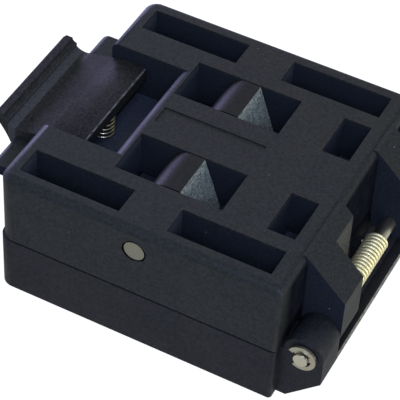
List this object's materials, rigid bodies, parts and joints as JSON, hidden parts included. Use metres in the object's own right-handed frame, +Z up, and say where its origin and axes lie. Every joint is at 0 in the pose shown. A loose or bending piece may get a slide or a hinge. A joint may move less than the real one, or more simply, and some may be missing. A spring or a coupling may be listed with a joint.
{
  "type": "ic test socket",
  "caption": "Clamshell test socket for a leaded quad flat package, with a sprung latch, a hinged lid, a rocking pusher and contacts round a central seat.",
  "frame": {"origin": "centre of the base's underside, under the middle of the package seat", "axes": "+X towards the hinge, -X towards the latch, +Z up through the lid"},
  "size_m": [0.0552, 0.042, 0.0243],
  "materials": {
    "base_plastic": "fine moulded grain, black",
    "lid_plastic": "fine moulded grain, black",
    "latch_plastic": "coarser moulded grain, black",
    "pusher_plastic": "smooth moulding, black",
    "inner_plastic": "smooth heat-resisting moulding, black",
    "contact_alloy": "plated spring alloy",
    "pin_steel": "ground dowel",
    "shaft_steel": "ground shaft",
    "ring_steel": "stamped spring steel",
    "spring_steel": "drawn spring wire",
    "screw_steel": "plain machined"
  },
  "bodies": {
    "base": {"base_housing": "base_plastic", "contact_block": "inner_plastic", "tail_plate": "inner_plastic", "package_nest": "inner_plastic", "contacts_front": "contact_alloy", "contacts_back": "contact_alloy", "contacts_left": "contact_alloy", "contacts_right": "contact_alloy", "block_screws": "screw_steel", "hinge_shaft": "shaft_steel", "front_retaining_ring": "ring_steel", "back_retaining_ring": "ring_steel", "hinge_spring": "spring_steel"},
    "cover": {"lid": "lid_plastic", "cross_pin": "pin_steel", "latch_pin": "pin_steel", "latch_spring": "spring_steel"},
    "latch": {"latch": "latch_plastic"},
    "pusher": {"pusher": "pusher_plastic", "lead_presser": "inner_plastic", "presser_screws": "screw_steel"}
  },
  "joints": [
    {"name": "cover_hinge", "type": "hinge", "parent": "base", "child": "cover", "pos_m": [0.02415, 0, 0.00895], "axis": [0, 1, 0], "range_deg": [0, 100], "deforming": ["hinge_spring"]},
    {"name": "latch_pivot", "type": "hinge", "parent": "cover", "child": "latch", "pos_m": [-0.0186, 0, 0.0115], "axis": [0, 1, 0], "range_deg": [0, 9], "stiffness_Nm_per_rad": 0.0044, "springref_deg": -5.73, "deforming": ["latch_spring"]},
    {"name": "pusher_rock", "type": "hinge", "parent": "cover", "child": "pusher", "pos_m": [0, 0, 0.0172], "axis": [0, 1, 0], "range_deg": [-1.5, 1.5]}
  ]
}
